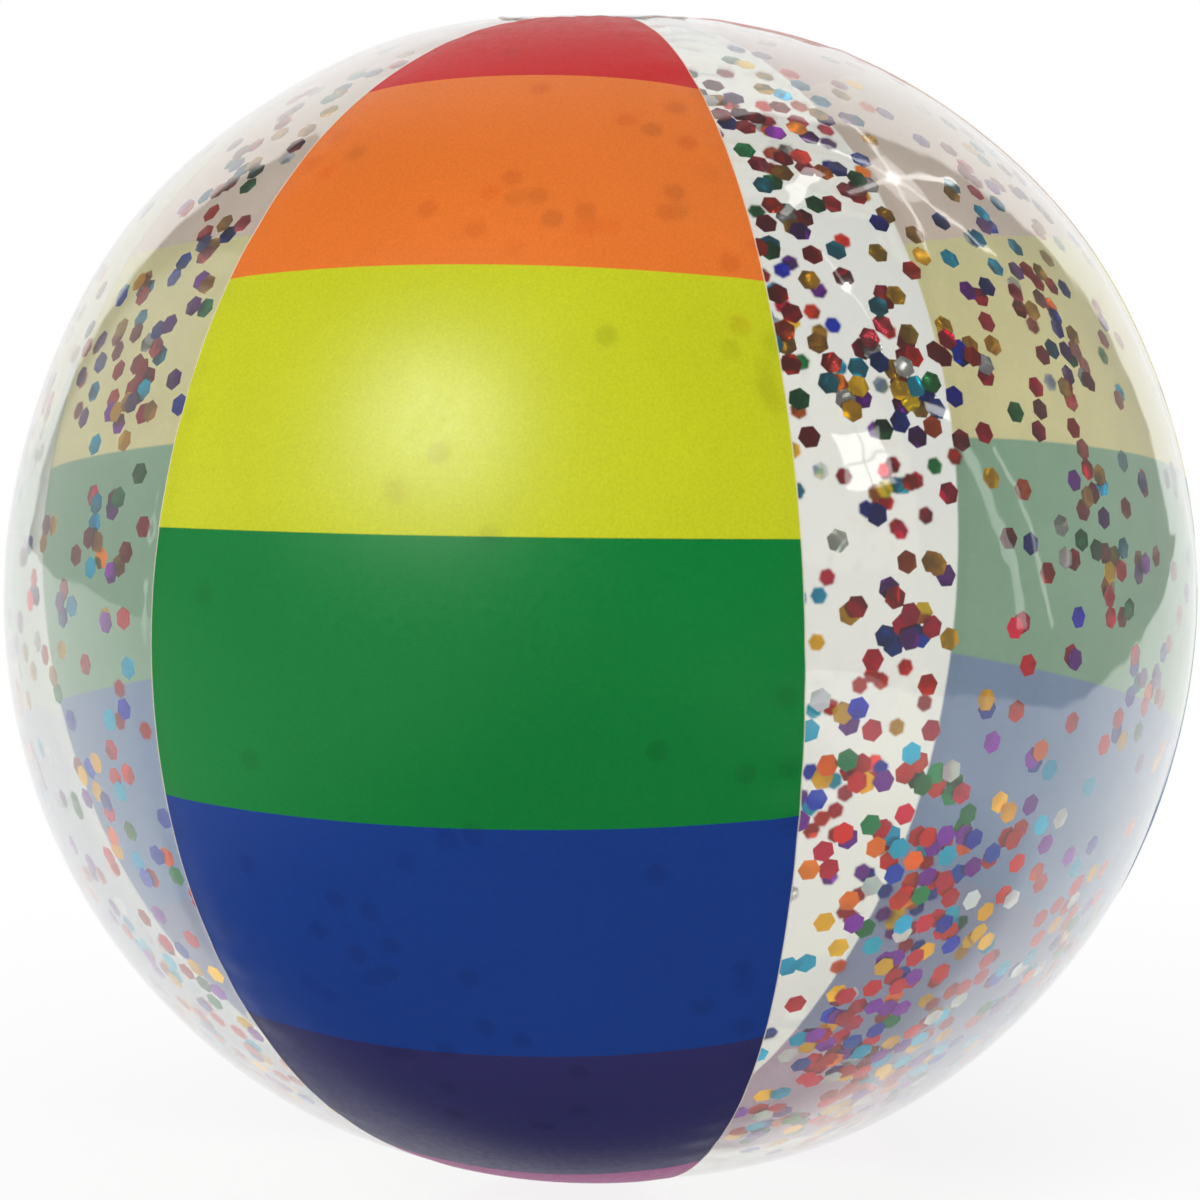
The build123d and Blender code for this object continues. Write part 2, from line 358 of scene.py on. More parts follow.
def srgb(red, green, blue):
    """Colour given in 0 to 255 display values."""
    def linear(v):
        v /= 255
        return v / 12.92 if v <= 0.04045 else ((v + 0.055) / 1.055) ** 2.4
    return (linear(red), linear(green), linear(blue), 1.0)


class Net:
    """The shader nodes of a material or of the world."""

    def __init__(self, owner):
        self.owner = owner
        owner.use_nodes = True
        self.tree = owner.node_tree
        self.tree.nodes.clear()

    def add(self, kind, inputs=None, **settings):
        node = self.tree.nodes.new("ShaderNode" + kind)
        for key, value in settings.items():
            setattr(node, key, value)
        for key, value in (inputs or {}).items():
            if isinstance(value, bpy.types.NodeSocket):
                self.tree.links.new(value, node.inputs[key])
            else:
                node.inputs[key].default_value = value
        return node

    def math(self, operation, a, b=0.0, c=0.0):
        return self.add("Math", {0: a, 1: b, 2: c}, operation=operation).outputs[0]

    def vector(self, operation, a, b=(0, 0, 0)):
        return self.add("VectorMath", {0: a, 1: b}, operation=operation).outputs

    def scale(self, vector, factor):
        inputs = {0: vector, "Scale": factor}
        return self.add("VectorMath", inputs, operation="SCALE").outputs[0]

    def dot(self, a, b):
        return self.vector("DOT_PRODUCT", a, b)["Value"]

    def remap(self, value, from_low, from_high, to_low, to_high, shape="LINEAR"):
        inputs = {0: value, 1: from_low, 2: from_high, 3: to_low, 4: to_high}
        return self.add("MapRange", inputs, interpolation_type=shape).outputs[0]

    def place(self):
        return self.add("TexCoord").outputs["Object"]

    def texture(self, scale, detail=2.0, roughness=0.5):
        inputs = {"Vector": self.place(), "Scale": scale, "Detail": detail, "Roughness": roughness}
        return self.add("TexNoise", inputs).outputs

    def patches(self, scale, detail, roughness, low, high):
        """Noise stretched to run from low to high."""
        return self.remap(self.texture(scale, detail, roughness)["Fac"], 0.3, 0.7, low, high)

    def value(self, name):
        return self.add("Attribute", attribute_name=name).outputs["Fac"]

    def blend(self, factor, a, b):
        return self.add("Mix", {0: factor, 6: a, 7: b}, data_type="RGBA").outputs[2]

    def bump(self, height, strength, distance):
        inputs = {"Height": height, "Strength": strength, "Distance": distance}
        return self.add("Bump", inputs).outputs[0]

    def shader(self, kind, inputs=None):
        return self.add(kind, inputs).outputs[0]

    def mix(self, factor, a, b):
        return self.shader("MixShader", {0: factor, 1: a, 2: b})

    def finish(self, shader, kind="OutputMaterial"):
        self.add(kind, {"Surface": shader})
        return self.owner


def new_material(name):
    return Net(bpy.data.materials.new(name))


def bands(net, colours):
    """Equal hard-edged bands from the top of a panel to its bottom."""
    ramp = net.add("ValToRGB", {"Fac": net.value("band")})
    ramp.color_ramp.interpolation = "CONSTANT"
    elements = ramp.color_ramp.elements
    elements[0].position, elements[0].color = 0.0, colours[0]
    elements[1].position, elements[1].color = 1 / len(colours), colours[1]
    for i, colour in enumerate(colours[2:], 2):
        elements.new(i / len(colours)).color = colour
    return ramp.outputs["Color"]


def one_side(net, shader):
    """The layer shows on its own side only."""
    behind = net.add("NewGeometry").outputs["Backfacing"]
    return net.mix(behind, shader, net.shader("BsdfTransparent"))


def ink_material():
    """Outside of the printed film. Some light comes through it from behind."""
    net = new_material("printed_film_outside")
    colour = bands(net, [
        srgb(206, 16, 20), srgb(234, 120, 44), srgb(200, 206, 30), srgb(0, 124, 52),
        srgb(14, 56, 136), srgb(46, 44, 98), srgb(160, 56, 130),
    ])
    grain = net.patches(1300, 3, 0.7, 0.9, 1.08)
    cloud = net.patches(14, 3, 0.5, 0.96, 1.04)
    colour = net.scale(colour, net.math("MULTIPLY", grain, cloud))
    margin = net.remap(net.value("edge_mm"), 0.2, 0.45, 0.85, 0.0)
    colour = net.blend(margin, colour, srgb(236, 224, 206))
    rough = net.patches(420, 3, 0.6, 0.31, 0.41)
    stretched = net.add("Mapping", {"Vector": net.place(), "Scale": (6, 6, 620)}).outputs[0]
    lines = net.add("TexNoise", {"Vector": stretched, "Scale": 1.0, "Detail": 2.0}).outputs["Fac"]
    height = net.math("ADD", net.texture(900, 3, 0.65)["Fac"], net.math("MULTIPLY", lines, 0.9))
    shader = net.shader("BsdfPrincipled", {
        "Base Color": colour, "Roughness": rough, "Normal": net.bump(height, 0.12, 0.0002),
        "Specular IOR Level": 0.3,
    })
    glow = net.shader("BsdfTranslucent", {"Color": colour})
    return net.finish(one_side(net, net.mix(0.3, shader, glow)))


def ink_back_material():
    """Inside of the printed film: the pale back of the print."""
    net = new_material("printed_film_inside")
    colour = bands(net, [
        srgb(240, 206, 202), srgb(244, 224, 212), srgb(248, 240, 182), srgb(152, 192, 164),
        srgb(138, 162, 200), srgb(150, 158, 192), srgb(204, 176, 198),
    ])
    cloud = net.patches(40, 3, 0.5, 0.95, 1.04)
    grain = net.patches(1500, 2, 0.7, 0.9, 1.1)
    colour = net.scale(colour, net.math("MULTIPLY", cloud, grain))
    shader = net.shader("BsdfPrincipled", {
        "Base Color": colour, "Roughness": net.patches(300, 2, 0.5, 0.36, 0.48),
        "Specular IOR Level": 0.4,
    })
    glow = net.shader("BsdfTranslucent", {"Color": colour})
    return net.finish(one_side(net, net.mix(0.42, shader, glow)))


def clear_material(name, haze=0.01, tint=(0.946, 0.946, 0.926, 1), lapped=False):
    """Thin clear vinyl: see-through face on, mirror-like and greyer towards the rim.

    Where it is welded under a printed panel the two have become one film.
    """
    net = new_material(name)
    ripple = net.texture(38)["Fac"]
    normal = net.bump(ripple, 0.22, 0.0015)
    facing = net.add("LayerWeight", {"Blend": 0.5, "Normal": normal}).outputs["Facing"]
    shine = net.math("MULTIPLY_ADD", net.math("POWER", facing, 3.6), 0.93, 0.05)
    pale = net.blend(net.math("POWER", facing, 2.5), tint, (0.93, 0.93, 0.905, 1))
    through = net.shader("BsdfTransparent", {"Color": pale})
    gloss = net.shader("BsdfGlossy", {
        "Color": (1, 1, 1, 1), "Roughness": net.remap(ripple, 0.3, 0.7, 0.02, 0.06),
        "Normal": normal,
    })
    milk = net.shader("BsdfDiffuse", {"Color": srgb(238, 236, 232)})
    seen = net.mix(shine, net.mix(haze, through, milk), gloss)
    if lapped:
        welded = net.math("LESS_THAN", net.value("edge_mm"), LAP / MM)
        seen = net.mix(welded, seen, net.shader("BsdfTransparent"))
    path = net.add("LightPath").outputs
    unseen = net.math("MAXIMUM", path["Is Shadow Ray"], path["Is Diffuse Ray"])
    plain = net.shader("BsdfTransparent", {"Color": (0.93, 0.93, 0.92, 1)})
    return net.finish(net.mix(unseen, seen, plain))


def vinyl_material(name, base, opacity, rough):
    """Soft moulded vinyl of the valve."""
    net = new_material(name)
    cloud = net.patches(260, 3, 0.5, 0.93, 1.03)
    shader = net.shader("BsdfPrincipled", {
        "Base Color": net.scale(base[:3], cloud),
        "Normal": net.bump(net.texture(1500, 3, 0.6)["Fac"], 0.18, 0.0002),
        "Roughness": net.patches(700, 2, 0.5, rough, rough + 0.12),
        "Subsurface Weight": 0.35, "Subsurface Scale": 0.002,
        "Specular IOR Level": 0.55,
    })
    return net.finish(net.mix(1 - opacity, shader, net.shader("BsdfTransparent")))


# Between these heights the flakes change from painted soft light (lighter colour, less metal) below to
# sharp reflections above.
SOFT_BELOW, SHARP_ABOVE = -0.055, 0.015


def foil_normal(net, geometry, chance):
    """Each flake leans its own way and is warped a little."""
    half = (0.5, 0.5, 0.5)
    lean = net.add("TexWhiteNoise", {"W": chance}, noise_dimensions="1D").outputs["Color"]
    lean = net.scale(net.vector("SUBTRACT", lean, half)[0], 0.55)
    warp = net.vector("SUBTRACT", net.texture(140, 0)["Color"], half)[0]
    lean = net.vector("ADD", lean, warp)[0]
    return net.vector("NORMALIZE", net.vector("ADD", geometry["Normal"], lean)[0])[0]


def foil_material(name, colour, rainbow=0.0):
    """Metallised glitter: each flake has its own lean, warp, shade and brightness.

    High on the ball it mirrors the room. Lower down its colour is painted lighter and less metallic:
    painted light standing in for the floor's soft light.
    """
    net = new_material(name)
    geometry = net.add("NewGeometry").outputs
    chance = geometry["Random Per Island"]
    normal = foil_normal(net, geometry, chance)
    other = net.math("MULTIPLY", chance, 71.3)
    shade = net.add("TexWhiteNoise", {"W": other}, noise_dimensions="1D").outputs
    tone = net.math("POWER", shade["Value"], 1.6)
    # Painted light: the dimmest flakes are painted lighter low on the ball, for the floor's soft light,
    # and darker high up, for the dark room.
    height = net.add("SeparateXYZ", {0: net.place()}).outputs[2]
    dimmest = net.remap(height, SOFT_BELOW, SHARP_ABOVE, 0.85, 0.5)
    brightest = net.remap(height, SOFT_BELOW, SHARP_ABOVE, 1.45, 1.6)
    bright = net.remap(tone, 0.0, 1.0, dimmest, brightest)
    shift = net.add("HueSaturation", {
        "Hue": net.remap(shade["Color"], 0.0, 1.0, 0.485, 0.515),
        "Saturation": 1.05, "Color": colour,
        "Value": net.math("MULTIPLY", bright, net.patches(2600, 1, 0.5, 0.92, 1.06)),
    }).outputs[0]
    if rainbow:
        shift = net.blend(rainbow, shift, net.texture(160)["Color"])
    # Painted light: metal also falls with height, so the low flakes look softly lit.
    return net.finish(net.shader("BsdfPrincipled", {
        "Base Color": shift, "Normal": normal, "Roughness": 0.2, "Specular IOR Level": 0.1,
        "Metallic": net.remap(height, SOFT_BELOW, SHARP_ABOVE, 0.25, 0.93),
    }))


INK = ink_material()
INK_BACK = ink_back_material()
CLEAR = clear_material("clear_film", lapped=True)
DISC = clear_material("disc_film", haze=0.16, tint=(0.95, 0.95, 0.945, 1))
VINYL = vinyl_material("valve_vinyl", srgb(232, 236, 236), 0.9, 0.28)
SKIRT = vinyl_material("skirt_vinyl", srgb(226, 232, 233), 0.62, 0.24)
FLAP = vinyl_material("flap_film", srgb(220, 228, 232), 0.7, 0.2)

# Colour of each kind of flake, its share of all flakes, and how much of a
# rainbow it shows.
FOILS = {
    "red": (srgb(196, 16, 34), 0.34, 0.0),
    "gold": (srgb(238, 178, 30), 0.15, 0.0),
    "cyan": (srgb(40, 170, 208), 0.11, 0.0),
    "blue": (srgb(22, 50, 170), 0.11, 0.0),
    "purple": (srgb(124, 38, 158), 0.12, 0.0),
    "green": (srgb(20, 118, 62), 0.07, 0.0),
    "silver": (srgb(222, 226, 226), 0.06, 0.35),
    "orange": (srgb(238, 112, 28), 0.04, 0.0),
}


# ---------------------------------------------------------------- film pieces

PRINTED = {
    "panel_print_front": 0,
    "panel_print_back_right": 120,
    "panel_print_back_left": 240,
}
CLEAR_PANELS = {
    "panel_clear_front_right": 60,
    "panel_clear_back": 180,
    "panel_clear_front_left": 300,
}


def stand_in(made, node, body):
    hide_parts(node)
    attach(made, body)


for node, azimuth in PRINTED.items():
    made = film_panel("film_" + node, azimuth, 0.0, 0.0, [INK, INK_BACK])
    stand_in(made, node, "ball")

for node, azimuth in CLEAR_PANELS.items():
    made = film_panel("film_" + node, azimuth, CLEAR_INSET, LAP, [CLEAR])
    if node == "panel_clear_back":
        cut_hole(made, VALVE_HOLE_R, 20 * MM)
    stand_in(made, node, "ball")

for node, sign in (("end_disc_top", 1), ("end_disc_bottom", -1)):
    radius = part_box(node)[1].x
    made = end_disc("patch_" + node, sign, radius, DISC_T, DISC)
    stand_in(made, node, "ball")


# ---------------------------------------------------------------- glitter

# Where flakes have gathered: azimuth from the front towards the right,
# latitude, spread along the surface in millimetres, number of flakes.
DRIFTS = [
    (39, 57, 12, 12), (42, 50, 13, 20), (42, 40, 11, 14), (33, 41, 8, 9),
    (33, 31, 11, 12), (33, 22, 9, 8), (42, 26, 13, 30), (46, 20, 9, 9),
    (80, 46, 15, 22), (69, 36, 15, 22), (53, 26, 10, 12), (65, 26, 14, 24),
    (64, 9, 14, 30), (40, 6, 9, 9), (41, 2, 9, 10), (35, -8, 14, 30),
    (48, -9, 13, 24), (73, -7, 15, 20), (42, -18, 14, 20), (54, -19, 15, 18),
    (44, -25, 15, 44), (71, -31, 16, 28), (39, -35, 15, 50), (48, -43, 16, 46),
    (60, -38, 18, 34), (40, -50, 15, 40), (60, -54, 18, 40), (82, -45, 18, 26),
    (-41, 49, 12, 16), (-42, 56, 12, 14), (-35, 38, 10, 9), (-39, 24, 15, 34),
    (-46, 31, 13, 16), (-39, 11, 12, 14), (-49, 2, 14, 12), (-40, -14, 12, 14),
    (-33, -19, 9, 9), (-43, -30, 15, 24), (-36, -42, 15, 26), (-60, -48, 20, 30),
    (-70, 20, 20, 20), (-75, -15, 22, 22), (160, 50, 18, 22), (170, 24, 16, 18),
    (158, 8, 16, 18), (166, -26, 18, 26), (150, -40, 20, 30), (195, 38, 20, 22),
    (205, 10, 18, 18), (202, -22, 20, 28), (185, -48, 24, 44), (120, -50, 20, 16),
    (0, -42, 22, 12), (8, 44, 16, 12), (-14, -18, 18, 9), (235, -50, 22, 16),
]
STRAY_CLEAR = 330
STRAY_PRINTED = 70


def wanted_flakes(rng):
    """Azimuth in degrees and arc length of each flake before they are thinned out."""
    spots = []
    for azimuth, latitude, spread, count in DRIFTS:
        for _ in range(count):
            up = math.radians(latitude) * R_EQ + rng.gauss(0, spread) * MM
            side = rng.gauss(0, spread) * MM / (R_EQ * math.cos(math.radians(latitude)))
            spots.append((azimuth + math.degrees(side), up))
    for first, count in ((60, STRAY_CLEAR), (0, STRAY_PRINTED)):
        for _ in range(count):
            azimuth = first + 120 * rng.randrange(3) + rng.uniform(-28, 28)
            spots.append((azimuth, math.asin(rng.uniform(-0.97, 0.97)) * R_EQ))
    return spots


def flake_places(rng):
    """Centre, normal and spin of each flake. Flakes over one another lie in different layers."""
    spots = [p for p in wanted_flakes(rng) if abs(p[1]) < ARC_LENGTH - 4 * MM]
    azimuth = np.radians([p[0] for p in spots])
    points, normals = surface(azimuth, np.array([p[1] for p in spots]), 0.0)
    placed = []
    for point, normal in zip(points, normals):
        spin = rng.uniform(0, math.pi / 3)
        if point[1] > 0 and math.hypot(point[0], point[2]) < VALVE_CLEAR:
            continue
        near = [p for p in placed if np.linalg.norm(p[0] - point) < 2 * FLAKE_R + 0.4 * MM]
        if any(np.linalg.norm(p[0] - point) < 0.55 * FLAKE_R for p in near):
            continue
        taken = {p[1] for p in near}
        free = [layer for layer in range(LAYERS) if layer not in taken]
        if free:
            placed.append((point, free[0], normal, spin))
    return placed


def flake_points(centre, normal, spin, rng):
    """Corners and middle of a hexagon's two faces, cupped a little."""
    up = Vector(normal)
    tilt = Matrix.Rotation(rng.uniform(-FLAKE_TILT, FLAKE_TILT), 3, "X")
    tilt = tilt @ Matrix.Rotation(rng.uniform(-FLAKE_TILT, FLAKE_TILT), 3, "Y")
    turn = up.to_track_quat("Z", "Y").to_matrix() @ tilt @ Matrix.Rotation(spin, 3, "Z")
    curl = rng.uniform(-1, 1) * FLAKE_CURL
    points = []
    for face in (FLAKE_T / 2, -FLAKE_T / 2):
        for k in range(6):
            angle = math.pi / 3 * k
            rim = Vector((FLAKE_R * math.cos(angle), FLAKE_R * math.sin(angle), face))
            points.append(Vector(centre) + turn @ rim)
        points.append(Vector(centre) + turn @ Vector((0, 0, face + curl)))
    return points


def flake_faces(base):
    """Faces of a flake whose points start at base."""
    top = [base + k for k in range(6)]
    low = [base + 7 + k for k in range(6)]
    faces = []
    for k in range(6):
        n = (k + 1) % 6
        faces.append((base + 6, top[k], top[n]))
        faces.append((base + 13, low[n], low[k]))
        faces.append((top[k], low[k], low[n], top[n]))
    return faces


def glitter():
    """One piece a colour. Flakes lie just deep enough to keep clear of the film over them."""
    rng = random.Random(41)
    colours = list(FOILS)
    weights = [share for _, share, _ in FOILS.values()]
    groups = {colour: ([], []) for colour in colours}
    for point, layer, normal, spin in flake_places(rng):
        points, faces = groups[rng.choices(colours, weights)[0]]
        turn = math.degrees(math.atan2(point[0], -point[1])) % 120
        first = FIRST_LAYER if BARE_FROM < turn < BARE_TO else PRINT_LAYER
        centre = point - normal * (first + layer * LAYER_STEP)
        faces += flake_faces(len(points))
        points += flake_points(centre, normal, spin, rng)
    for colour, (points, faces) in groups.items():
        made = mesh_object("flakes_" + colour, points, faces, smooth=False)
        shade, _, rainbow = FOILS[colour]
        made.data.materials.append(foil_material("foil_" + colour, shade, rainbow))
        stand_in(made, "glitter_" + colour, "ball")


glitter()


# ---------------------------------------------------------------- valve

def lathe(name, profile, segments=96):
    """Closed ring turned about the +Y axis from (radius, y) corners."""
    turn = np.linspace(0, 2 * math.pi, segments, endpoint=False)
    rows = [[(r * math.cos(t), y, r * math.sin(t)) for t in turn] for r, y in profile]
    points = [p for row in rows for p in row]
    faces = grid_faces(len(profile), segments, closed=True)
    last = (len(profile) - 1) * segments
    for i in range(segments):
        k = (i + 1) % segments
        faces.append((last + i, last + k, k, i))
    made = mesh_object(name, points, faces)
    face_outwards(made)
    return made


def curve_through(corners, steps):
    """Smooth line through corners (Catmull-Rom)."""
    ends = [corners[0]] + list(corners) + [corners[-1]]
    line = []
    for a, b, c, d in zip(ends, ends[1:], ends[2:], ends[3:]):
        for i in range(steps):
            t = i / steps
            line.append(tuple(
                0.5 * (2 * q + (s - p) * t + (2 * p - 5 * q + 4 * s - u) * t * t
                       + (3 * q - p - 3 * s + u) * t ** 3)
                for p, q, s, u in zip(a, b, c, d)
            ))
    return line + [tuple(corners[-1])]


def way_along(line, i):
    """Unit direction of a line of points at its point i."""
    before, after = line[max(i - 1, 0)], line[min(i + 1, len(line) - 1)]
    return Vector((after[0] - before[0], after[1] - before[1])).normalized()


def valve_skirt():
    """Sleeve round the stem, built in one shape; the real one turns outside in as the stem moves."""
    low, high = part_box("valve_skirt")
    foot_y, top_y = low.y, high.y
    corners = [
        (9.2 * MM, top_y - 0.25 * MM), (7.7 * MM, top_y - 0.4 * MM),
        (7.25 * MM, top_y - 2.2 * MM), (7.0 * MM, top_y - 5.5 * MM),
        (6.2 * MM, top_y - 9 * MM), (5.75 * MM, foot_y + 1.6 * MM),
        (5.72 * MM, foot_y + 0.3 * MM),
    ]
    line = curve_through(corners, 6)
    half = 0.22 * MM
    inner, outer = [], []
    for i, (r, y) in enumerate(line):
        way = way_along(line, i)
        inner.append((r + way.y * half, y - way.x * half))
        outer.append((r - way.y * half, y + way.x * half))
    made = lathe("soft_skirt", inner + outer[::-1])
    made.data.materials.append(SKIRT)
    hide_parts("valve_skirt")
    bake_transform(made)


def valve_strap():
    """Tether folded in a hairpin, built in that one shape; the real one unfolds as the stopper is
    pulled out.
    """
    low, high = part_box("valve_strap")
    root, reach = low.z, high.z
    y0, y1 = low.y + 0.35 * MM, high.y - 0.35 * MM
    mid, bend = (y0 + y1) / 2, (y1 - y0) / 2
    far = reach - bend - 0.35 * MM
    line = [(root + (far - root) * i / 10, y0) for i in range(10)]
    for i in range(13):
        t = math.pi * i / 12 - math.pi / 2
        line.append((far + bend * math.cos(t), mid + bend * math.sin(t)))
    start_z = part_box("valve_stopper")[1].z - 0.3 * MM
    line += [(far + (start_z - far) * i / 14, y1) for i in range(1, 15)]
    points = []
    sides = 16
    for i, (z, y) in enumerate(line):
        way = way_along(line, i)
        wide = 1.3 * MM + 0.25 * MM * math.exp(-min(i, len(line) - 1 - i) / 2.5)
        for k in range(sides):
            t = 2 * math.pi * k / sides
            cx = math.copysign(abs(math.cos(t)) ** 0.45, math.cos(t)) * wide
            cy = math.copysign(abs(math.sin(t)) ** 0.45, math.sin(t)) * 0.32 * MM
            points.append((cx, y + way.x * cy, z - way.y * cy))
    faces = grid_faces(len(line), sides, closed=True)
    faces.append(tuple(range(sides))[::-1])
    faces.append(tuple(len(points) - sides + k for k in range(sides)))
    made = mesh_object("soft_strap", points, faces)
    made.data.materials.append(VINYL)
    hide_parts("valve_strap")
    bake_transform(made)


valve_skirt()
valve_strap()

for node, material in (
    ("valve_flange", SKIRT), ("valve_stem", VINYL),
    ("valve_stopper", VINYL), ("valve_flap", FLAP),
):
    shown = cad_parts[node]
    shown.data.materials.clear()
    shown.data.materials.append(material)


# ---------------------------------------------------------------- studio

def camera_way():
    a, e = math.radians(CAMERA_AZIMUTH), math.radians(CAMERA_ELEVATION)
    return Vector((math.sin(a) * math.cos(e), -math.cos(a) * math.cos(e), math.sin(e)))


TO_CAMERA = camera_way()
CAMERA_RIGHT = Vector((0, 0, 1)).cross(TO_CAMERA).normalized()
CAMERA_UP = TO_CAMERA.cross(CAMERA_RIGHT)


def towards(right, up, front):
    """Direction given from the camera's point of view."""
    return (CAMERA_RIGHT * right + CAMERA_UP * up + TO_CAMERA * front).normalized()


KEY = towards(-0.477, 0.452, 0.754)
WINDOW = towards(0.716, 0.355, 0.600)
LAMP = towards(0.437, 0.899, 0.036)
LAMP_LOW = towards(0.843, 0.458, 0.281)
SPARK = towards(0.575, 0.769, -0.278)
SPARK_LOW = towards(0.609, 0.745, 0.273)
LIGHT_DISTANCE = 2.4

# Brightness of what the film mirrors, where the board behind the ball is 1.
WALL_GLOW = 0.5              # the wall on the left
ROOM_LOW, ROOM_HIGH = 0.47, 0.17
ROOM_MIRRORED = 0.66         # share of the room's light that shows in reflections

# The board's half width, as a share of its distance, and where it fades out.
BOARD_EDGE, BOARD_END = 0.86, 0.96

# The strip of white floor that the film mirrors: half its width beside the
# ball, how fast it widens towards the board, and how dark it is past that.
FLOOR_STRIP, FLOOR_SPREAD, FLOOR_DARK = 0.78, 0.72, 0.7


def put(name, data, location):
    made = bpy.data.objects.new(name, data)
    bpy.context.scene.collection.objects.link(made)
    made.location = location
    return made


def add_camera():
    data = bpy.data.cameras.new("camera")
    data.lens = LENS
    data.sensor_width = 36
    data.shift_y = CAMERA_SHIFT
    data.clip_start, data.clip_end = 0.01, 50
    data.dof.use_dof = True
    data.dof.focus_object = put("focus", None, TO_CAMERA * FOCUS)
    data.dof.aperture_fstop = F_STOP
    camera = put("camera", data, TO_CAMERA * CAMERA_DISTANCE)
    turn = (-TO_CAMERA).to_track_quat("-Z", "Y").to_matrix().to_4x4()
    roll = Matrix.Rotation(math.radians(-CAMERA_ROLL), 4, "Z")
    camera.matrix_world = Matrix.Translation(camera.location) @ turn @ roll
    bpy.context.scene.camera = camera


def area_light(name, way, size, power):
    data = bpy.data.lights.new(name, "AREA")
    data.energy = power
    data.shape = "RECTANGLE"
    data.size = size
    data.size_y = size
    light = put(name, data, way * LIGHT_DISTANCE)
    light.rotation_mode = "QUATERNION"
    light.rotation_quaternion = way.to_track_quat("Z", "Y")
    return light


def card(name, way, distance, wide, tall, strength, roll=0, panes=1, bar=0.0):
    """Bright card, or a window of panes by panes, seen only in reflections."""
    points, faces = [], []
    for i in range(panes):
        for j in range(panes):
            x0, x1 = wide * (i / panes - 0.5) + bar / 2, wide * ((i + 1) / panes - 0.5) - bar / 2
            y0, y1 = tall * (j / panes - 0.5) + bar / 2, tall * ((j + 1) / panes - 0.5) - bar / 2
            base = len(points)
            points += [(x0, y0, 0), (x1, y0, 0), (x1, y1, 0), (x0, y1, 0)]
            faces.append((base, base + 1, base + 2, base + 3))
    made = mesh_object(name, points, faces, smooth=False)
    net = new_material(name)
    made.data.materials.append(net.finish(net.shader("Emission", {"Strength": strength})))
    turn = way.to_track_quat("Z", "Y").to_matrix().to_4x4()
    spin = Matrix.Rotation(math.radians(roll), 4, "Z")
    made.matrix_world = Matrix.Translation(way * distance) @ turn @ spin
    made.visible_camera = False
    made.visible_diffuse = False
    made.visible_shadow = False
    made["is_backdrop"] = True


def add_lights():
    """Soft lights, and the bright cards that the glossy film mirrors."""
    area_light("key", KEY, 0.85, 29)
    for name, way, size, power in (
        ("top", towards(0.15, 0.97, 0.1), 1.8, 16),
        ("left_fill", towards(-0.95, 0.1, 0.2), 1.2, 10),
        ("right_fill", towards(0.9, 0.15, 0.45), 1.2, 16),
    ):
        area_light(name, way, size, power).visible_glossy = False
    # Each card: name, direction, distance, width, height, strength, roll in degrees.
    card("sheen", KEY, 2.38, 0.8, 0.8, 16)
    card("window", WINDOW, 2.37, 0.4, 0.42, 3.2, panes=2, bar=0.02)
    card("strip_right", towards(0.955, 0.12, 0.2), 2.35, 0.1, 1.2, 1.6, 8)
    card("strip_side", towards(0.985, 0.1, 0.05), 2.35, 0.05, 1.3, 1.6, 8)
    card("strip_left", towards(-0.99, 0.05, 0.12), 2.0, 0.05, 1.3, 1.6, -6)
    card("lamp", LAMP, 2.33, 0.6, 0.08, 2.2, -20)
    card("lamp_low", LAMP_LOW, 2.35, 0.22, 0.07, 4, -30)
    card("spark", SPARK, 2.31, 0.05, 0.05, 260)
    for roll in (12, 78, 130):
        card(f"spark_ray_{roll}", SPARK, 2.3, 1.1, 0.035, 2.0, roll)
    card("spark_halo", SPARK, 2.32, 0.3, 0.3, 1.1, 45)
    card("spark_low", SPARK_LOW, 2.35, 0.04, 0.04, 160)
    card("spark_low_ray", SPARK_LOW, 2.34, 0.5, 0.02, 2, 75)


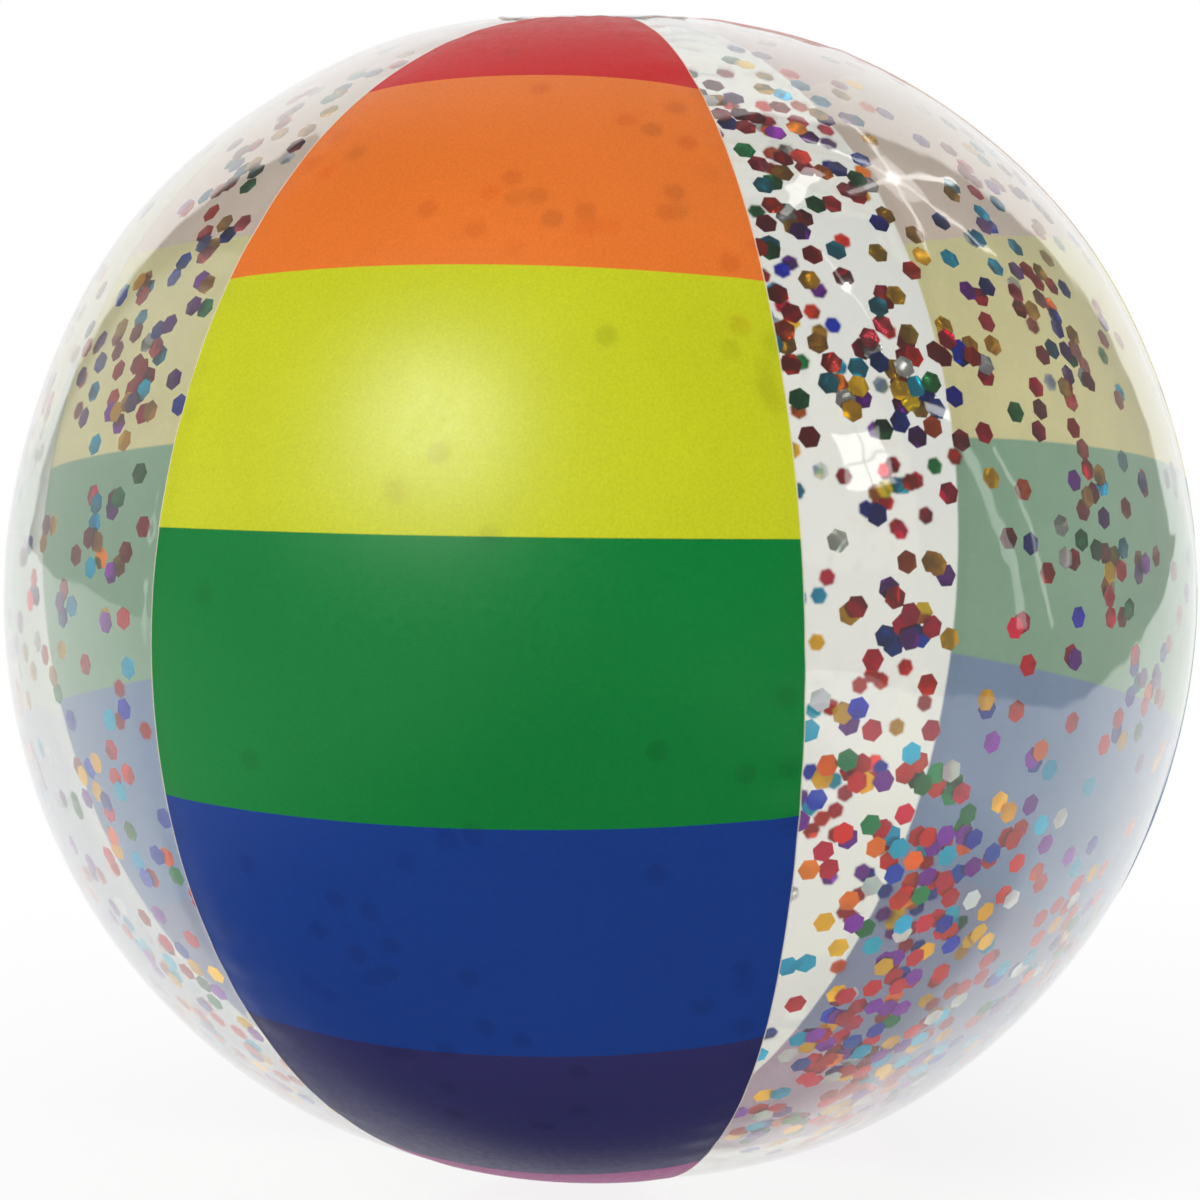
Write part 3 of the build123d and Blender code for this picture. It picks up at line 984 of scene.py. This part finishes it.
def add_floor():
    """Pale floor: it takes the ball's shadow, and far away it is as white as the background.

    The film mirrors a bright strip that widens towards the board, and in front of
    the ball a painted shade: the floor's glow is cut there, for the ball's own shadow.
    """
    size = 6.0
    points = [(-size, -size, 0), (size, -size, 0), (size, size, 0), (-size, size, 0)]
    floor = mesh_object("floor", points, [(0, 1, 2, 3)], smooth=False)
    floor.location.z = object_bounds()[0].z - 0.2 * MM
    net = new_material("floor")
    where = net.place()
    path = net.add("LightPath").outputs
    across, back = net.dot(where, CAMERA_RIGHT), net.dot(where, -TO_CAMERA)
    spread = net.math("MULTIPLY", net.math("MAXIMUM", back, 0.0), FLOOR_SPREAD)
    past = net.math("SUBTRACT", across, spread)
    dark = net.remap(past, FLOOR_STRIP, FLOOR_STRIP + 0.04, 0.0, FLOOR_DARK)
    aside = net.remap(net.math("ABSOLUTE", across), 0.25, 0.4, 1.0, 0.0)
    # Painted shade: a dark patch in the floor's glow in front of the ball, seen only in reflections.
    shade = net.math("MULTIPLY", net.remap(back, -0.1, -0.07, 1.0, 0.0), aside)
    # The outside of the film mirrors this painted shade. Flakes behind the film don't.
    outside = net.math("LESS_THAN", path["Transparent Depth"], 0.5)
    dark = net.math("MAXIMUM", dark, net.math("MULTIPLY", shade, outside))
    strength = net.math("SUBTRACT", 1.0, net.math("MULTIPLY", dark, path["Is Glossy Ray"]))
    white = net.shader("Emission", {"Strength": strength})
    near = net.shader("BsdfDiffuse", {"Color": srgb(247, 247, 246)})
    far = net.remap(net.vector("LENGTH", where)["Value"], 0.1, 0.5, 0.86, 1.0)
    floor.data.materials.append(net.finish(net.mix(far, near, white)))
    floor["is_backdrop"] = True


def add_world():
    """White behind the ball. In reflections the room is dark overhead and on the camera's side."""
    world = bpy.data.worlds.new("studio")
    bpy.context.scene.world = world
    net = Net(world)

    def ease(*values):
        return net.remap(*values, shape="SMOOTHSTEP")

    where = net.add("TexCoord").outputs["Generated"]
    path = net.add("LightPath").outputs
    mirrored = path["Is Glossy Ray"]
    behind = net.dot(where, -TO_CAMERA)
    sideways = net.math("DIVIDE", net.dot(where, CAMERA_RIGHT), net.math("MAXIMUM", behind, 0.001))
    inside = ease(net.math("ABSOLUTE", sideways), BOARD_EDGE, BOARD_END, 1.0, 0.0)
    board = net.math("MULTIPLY", inside, ease(behind, 0.2, 0.3, 0.0, 1.0))
    wall = ease(net.dot(where, -CAMERA_RIGHT), 0.62, 0.74, 0.0, WALL_GLOW)
    sharp = net.math("MULTIPLY", net.math("MAXIMUM", board, wall), mirrored)
    unmirrored = net.math("SUBTRACT", 1.0, mirrored)
    soft = net.math("MULTIPLY", ease(behind, 0.45, 0.8, 0.0, 1.0), unmirrored)
    height = net.add("SeparateXYZ", {0: where}).outputs[2]
    room = net.math(
        "MULTIPLY", ease(height, 0.0, 0.6, ROOM_LOW, ROOM_HIGH),
        ease(mirrored, 0.0, 1.0, 1.0, ROOM_MIRRORED),
    )
    glow = net.math("MAXIMUM", net.math("ADD", sharp, soft), room)
    glow = net.math("MAXIMUM", glow, path["Is Camera Ray"])
    back = net.shader("Background", {"Color": (1, 1, 1, 1), "Strength": glow})
    net.finish(back, "OutputWorld")


add_camera()
add_lights()
add_floor()
add_world()
bpy.context.scene.view_settings.view_transform = "Standard"
bpy.context.scene.cycles.transparent_max_bounces = 32
bpy.context.scene.cycles.max_bounces = 8
bpy.context.scene.cycles.diffuse_bounces = 3
